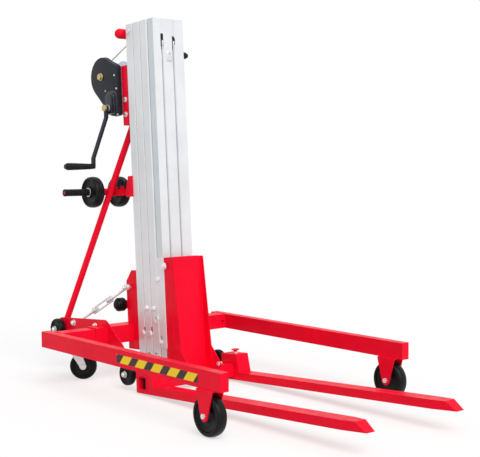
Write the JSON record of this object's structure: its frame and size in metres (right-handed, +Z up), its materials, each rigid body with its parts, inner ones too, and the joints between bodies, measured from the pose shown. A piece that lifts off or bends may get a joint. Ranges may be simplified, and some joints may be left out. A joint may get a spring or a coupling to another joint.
{
  "type": "material hoist",
  "caption": "Hand-winch material hoist: leaning telescopic aluminium mast on a red wheeled U-base, with a lifting carriage, sliding forks, rear stay and loading wheels.",
  "frame": {"origin": "floor level, middle of the bounding box", "axes": "+X the way the forks reach, +Y to the left side, +Z up"},
  "size_m": [2.0935, 1.0486, 1.6468],
  "materials": {
    "red": "gloss powder coat",
    "mast": "satin anodised extrusion",
    "zinc": "bright zinc plating",
    "rope": "galvanised strand",
    "yellow_zinc": "yellow zinc plating",
    "tyre": "satin",
    "black_steel": "satin powder coat",
    "grip": "fine grain"
  },
  "bodies": {
    "base": {"base_sleeve": "red", "side_plate_right": "red", "side_plate_left": "red", "axle_bolts": "zinc", "foot_bracket": "red", "turnbuckle_rods": "zinc", "strut_right": "red", "strut_left": "red", "mast_section_1": "mast", "loading_bracket": "red", "loading_bar": "red", "bar_grips": "grip", "top_bar": "red", "winch_channel": "red", "winch_frame": "zinc", "gear_cover": "black_steel", "brake_housing": "black_steel", "winch_bolts": "yellow_zinc", "lift_rope": "rope", "head_pulley": "zinc"},
    "leg_right": {"leg_right": "red", "front_axle_right": "zinc"},
    "front_wheel_right": {"front_wheel_right": "tyre"},
    "caster_right": {"caster_fork_right": "zinc"},
    "caster_wheel_right": {"caster_wheel_right": "tyre"},
    "tail_wheel_right": {"tail_wheel_right": "tyre"},
    "tilt_wheel_right": {"tilt_wheel_right": "tyre"},
    "buffer_right": {"buffer_right": "tyre"},
    "turnbuckle_right": {"turnbuckle_right": "zinc"},
    "leg_left": {"leg_left": "red", "front_axle_left": "zinc"},
    "front_wheel_left": {"front_wheel_left": "tyre"},
    "caster_left": {"caster_fork_left": "zinc"},
    "caster_wheel_left": {"caster_wheel_left": "tyre"},
    "tail_wheel_left": {"tail_wheel_left": "tyre"},
    "tilt_wheel_left": {"tilt_wheel_left": "tyre"},
    "buffer_left": {"buffer_left": "tyre"},
    "turnbuckle_left": {"turnbuckle_left": "zinc"},
    "mast_2": {"mast_section_2": "mast"},
    "mast_3": {"mast_section_3": "mast", "carriage_ropes": "rope"},
    "lock_pin": {"lock_pin": "zinc"},
    "carriage": {"carriage_slider": "mast", "carriage_panel": "red", "fork_crossbar": "red"},
    "fork_right": {"fork_right": "red"},
    "plunger_right": {"plunger_right": "red"},
    "fork_left": {"fork_left": "red"},
    "plunger_left": {"plunger_left": "red"},
    "loading_wheel_right": {"loading_wheel_right": "tyre"},
    "loading_wheel_middle": {"loading_wheel_middle": "tyre"},
    "loading_wheel_left": {"loading_wheel_left": "tyre"},
    "drum": {"drum": "zinc", "drum_rope": "rope"},
    "idler": {"idler_gear": "zinc"},
    "crank": {"crank_shaft": "zinc", "cranks": "black_steel"},
    "grip_right": {"grip_right": "grip"},
    "grip_left": {"grip_left": "grip"}
  },
  "joints": [
    {"name": "leg_right_slide", "type": "slide", "parent": "base", "child": "leg_right", "axis": [0, -1, 0], "range_m": [-0.14, 0.06]},
    {"name": "front_wheel_right_spin", "type": "hinge", "parent": "leg_right", "child": "front_wheel_right", "pos_m": [0.48124, -0.485, 0.08], "axis": [0, 1, 0], "continuous": true},
    {"name": "caster_right_swivel", "type": "hinge", "parent": "base", "child": "caster_right", "pos_m": [-0.74876, -0.312, 0.164], "axis": [0, 0, 1], "continuous": true},
    {"name": "caster_wheel_right_spin", "type": "hinge", "parent": "caster_right", "child": "caster_wheel_right", "pos_m": [-0.72305, -0.28136, 0.0625], "axis": [-0.766, 0.6428, 0], "continuous": true},
    {"name": "tail_wheel_right_spin", "type": "hinge", "parent": "base", "child": "tail_wheel_right", "pos_m": [-0.99676, -0.256, 0.2], "axis": [0, 1, 0], "continuous": true},
    {"name": "tilt_wheel_right_spin", "type": "hinge", "parent": "base", "child": "tilt_wheel_right", "pos_m": [-0.39376, -0.256, 0.069], "axis": [0, 1, 0], "continuous": true},
    {"name": "buffer_right_spin", "type": "hinge", "parent": "base", "child": "buffer_right", "pos_m": [-0.67873, -0.103, 0.33655], "axis": [0, 1, 0], "continuous": true},
    {"name": "turnbuckle_right_spin", "type": "hinge", "parent": "base", "child": "turnbuckle_right", "pos_m": [-0.75001, -0.1565, 0.33171], "axis": [0.7847, 0.308, 0.538], "continuous": true},
    {"name": "leg_left_slide", "type": "slide", "parent": "base", "child": "leg_left", "axis": [0, 1, 0], "range_m": [-0.14, 0.06]},
    {"name": "front_wheel_left_spin", "type": "hinge", "parent": "leg_left", "child": "front_wheel_left", "pos_m": [0.48124, 0.485, 0.08], "axis": [0, 1, 0], "continuous": true},
    {"name": "caster_left_swivel", "type": "hinge", "parent": "base", "child": "caster_left", "pos_m": [-0.74876, 0.312, 0.164], "axis": [0, 0, 1], "continuous": true},
    {"name": "caster_wheel_left_spin", "type": "hinge", "parent": "caster_left", "child": "caster_wheel_left", "pos_m": [-0.72305, 0.34264, 0.0625], "axis": [-0.766, 0.6428, 0], "continuous": true},
    {"name": "tail_wheel_left_spin", "type": "hinge", "parent": "base", "child": "tail_wheel_left", "pos_m": [-0.99676, 0.256, 0.2], "axis": [0, 1, 0], "continuous": true},
    {"name": "tilt_wheel_left_spin", "type": "hinge", "parent": "base", "child": "tilt_wheel_left", "pos_m": [-0.39376, 0.256, 0.069], "axis": [0, 1, 0], "continuous": true},
    {"name": "buffer_left_spin", "type": "hinge", "parent": "base", "child": "buffer_left", "pos_m": [-0.67873, 0.103, 0.33655], "axis": [0, 1, 0], "continuous": true},
    {"name": "turnbuckle_left_spin", "type": "hinge", "parent": "base", "child": "turnbuckle_left", "pos_m": [-0.75001, 0.1565, 0.33171], "axis": [0.7847, -0.308, 0.538], "continuous": true},
    {"name": "mast_2_lift", "type": "slide", "parent": "base", "child": "mast_2", "axis": [-0.0593, 0, 0.9982], "range_m": [0, 1.05]},
    {"name": "mast_3_lift", "type": "slide", "parent": "mast_2", "child": "mast_3", "axis": [-0.0593, 0, 0.9982], "range_m": [0, 1.05]},
    {"name": "carriage_lift", "type": "slide", "parent": "mast_3", "child": "carriage", "axis": [-0.0593, 0, 0.9982], "range_m": [0, 1.05]},
    {"name": "lock_pin_pull", "type": "slide", "parent": "mast_3", "child": "lock_pin", "axis": [0, -1, 0], "range_m": [0, 0.008], "stiffness_N_per_m": 500},
    {"name": "fork_right_slide", "type": "slide", "parent": "carriage", "child": "fork_right", "axis": [0, 1, 0], "range_m": [0, 0.1]},
    {"name": "plunger_right_pull", "type": "slide", "parent": "fork_right", "child": "plunger_right", "axis": [-0.0593, 0, 0.9982], "range_m": [0, 0.012], "stiffness_N_per_m": 800},
    {"name": "fork_left_slide", "type": "slide", "parent": "carriage", "child": "fork_left", "axis": [0, -1, 0], "range_m": [0, 0.1]},
    {"name": "plunger_left_pull", "type": "slide", "parent": "fork_left", "child": "plunger_left", "axis": [-0.0593, 0, 0.9982], "range_m": [0, 0.012], "stiffness_N_per_m": 800},
    {"name": "loading_wheel_right_spin", "type": "hinge", "parent": "base", "child": "loading_wheel_right", "pos_m": [-0.83767, -0.147, 0.86205], "axis": [0, 1, 0], "continuous": true},
    {"name": "loading_wheel_middle_spin", "type": "hinge", "parent": "base", "child": "loading_wheel_middle", "pos_m": [-0.83767, 0, 0.86205], "axis": [0, 1, 0], "continuous": true},
    {"name": "loading_wheel_left_spin", "type": "hinge", "parent": "base", "child": "loading_wheel_left", "pos_m": [-0.83767, 0.147, 0.86205], "axis": [0, 1, 0], "continuous": true},
    {"name": "drum_spin", "type": "hinge", "parent": "base", "child": "drum", "pos_m": [-0.81697, 0, 1.40724], "axis": [0, 1, 0], "continuous": true},
    {"name": "idler_spin", "type": "hinge", "parent": "base", "child": "idler", "pos_m": [-0.75587, 0, 1.30556], "axis": [0, 1, 0], "continuous": true},
    {"name": "crank_spin", "type": "hinge", "parent": "base", "child": "crank", "pos_m": [-0.72574, 0, 1.25541], "axis": [0, 1, 0], "continuous": true},
    {"name": "grip_right_spin", "type": "hinge", "parent": "crank", "child": "grip_right", "pos_m": [-0.72858, -0.286, 0.98443], "axis": [0, 1, 0], "continuous": true},
    {"name": "grip_left_spin", "type": "hinge", "parent": "crank", "child": "grip_left", "pos_m": [-0.72291, 0.256, 1.5264], "axis": [0, 1, 0], "continuous": true}
  ],
  "couplings": [
    {"joint": "mast_3_lift", "follows": "mast_2_lift", "ratio": 1},
    {"joint": "carriage_lift", "follows": "mast_2_lift", "ratio": 1},
    {"joint": "idler_spin", "follows": "drum_spin", "ratio": -2.4762},
    {"joint": "crank_spin", "follows": "drum_spin", "ratio": 3.4667}
  ]
}
